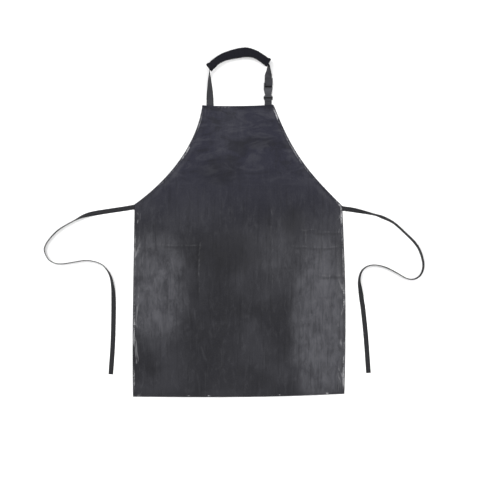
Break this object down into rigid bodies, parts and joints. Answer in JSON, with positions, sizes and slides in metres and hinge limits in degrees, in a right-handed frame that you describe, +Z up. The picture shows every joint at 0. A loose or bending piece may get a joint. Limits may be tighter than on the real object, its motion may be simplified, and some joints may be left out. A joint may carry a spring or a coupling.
{
  "type": "lead apron",
  "caption": "Bib-shaped lead-vinyl shielding apron lying flat, with a padded neck strap, side-release buckle, ladder-lock adjuster and waist ties.",
  "frame": {"origin": "under the middle of the apron with its neck loop, waist ties left out, on the surface it lies on", "axes": "+Y from the hem to the neck, +X to the right of the front face, +Z up out of the front face"},
  "size_m": [1.2888, 1.1794, 0.0322],
  "materials": {
    "coated_fabric": "smooth coated, satin",
    "lining_fabric": "matt woven",
    "lead_vinyl": "matt",
    "webbing": "matt woven",
    "tie_tape": "matt woven",
    "sleeve_fabric": "soft matt",
    "foam": "open-cell foam",
    "buckle_plastic": "fine-grained moulded",
    "thread": "matt"
  },
  "bodies": {
    "apron_body": {"front_cover": "coated_fabric", "shield_ply_front": "lead_vinyl", "shield_ply_back": "lead_vinyl", "back_lining": "lining_fabric", "top_binding": "coated_fabric", "left_armhole_binding": "coated_fabric", "right_armhole_binding": "coated_fabric", "left_side_binding": "coated_fabric", "right_side_binding": "coated_fabric", "bottom_binding": "coated_fabric", "strap_sewn_end": "webbing", "tab_sewn_end": "webbing", "left_tie_sewn_end": "tie_tape", "right_tie_sewn_end": "tie_tape", "strap_box_stitch": "thread", "tab_box_stitch": "thread", "left_tie_box_stitch": "thread", "right_tie_box_stitch": "thread"},
    "neck_loop": {"left_neck_strap": "webbing", "inner_webbing": "webbing", "right_neck_strap": "webbing", "neck_pad_cover": "sleeve_fabric", "neck_pad_foam": "foam", "left_pad_cuff": "sleeve_fabric", "right_pad_cuff": "sleeve_fabric", "buckle_tab": "webbing", "buckle_socket": "buckle_plastic"},
    "left_tie": {"left_waist_tie": "tie_tape"},
    "right_tie": {"right_waist_tie": "tie_tape"},
    "buckle_plug": {"buckle_plug": "buckle_plastic", "adjuster_webbing": "webbing"},
    "left_latch": {"left_latch_arm": "buckle_plastic"},
    "right_latch": {"right_latch_arm": "buckle_plastic"},
    "strap_tail": {"strap_tail": "webbing"}
  },
  "joints": [
    {"name": "neck_loop_fold", "type": "hinge", "parent": "apron_body", "child": "neck_loop", "pos_m": [0, 0.404, 0.00285], "axis": [1, 0, 0], "range_deg": [0, 135]},
    {"name": "left_tie_fold", "type": "hinge", "parent": "apron_body", "child": "left_tie", "pos_m": [-0.35913, 0.05245, 0.00275], "axis": [-0.1699, 0.9855, 0], "range_deg": [0, 135]},
    {"name": "right_tie_fold", "type": "hinge", "parent": "apron_body", "child": "right_tie", "pos_m": [0.35405, 0.04759, 0.00275], "axis": [-0.1414, -0.9899, 0], "range_deg": [0, 135]},
    {"name": "buckle_release", "type": "slide", "parent": "neck_loop", "child": "buckle_plug", "axis": [0, 1, 0], "range_m": [0, 0.024], "deforming": ["right_neck_strap", "left_latch_arm", "right_latch_arm"]},
    {"name": "left_latch_squeeze", "type": "hinge", "parent": "buckle_plug", "child": "left_latch", "pos_m": [0.0874, 0.4523, 0.004], "axis": [0, 0, 1], "range_deg": [0, 6], "stiffness_Nm_per_rad": 0.02},
    {"name": "right_latch_squeeze", "type": "hinge", "parent": "buckle_plug", "child": "right_latch", "pos_m": [0.1094, 0.4523, 0.004], "axis": [0, 0, -1], "range_deg": [0, 6], "stiffness_Nm_per_rad": 0.02},
    {"name": "tail_lift", "type": "hinge", "parent": "buckle_plug", "child": "strap_tail", "pos_m": [0.0984, 0.4659, 0.0095], "axis": [1, 0, 0], "range_deg": [0, 90]}
  ],
  "couplings": [
    {"joint": "right_latch_squeeze", "follows": "left_latch_squeeze", "ratio": 1}
  ]
}
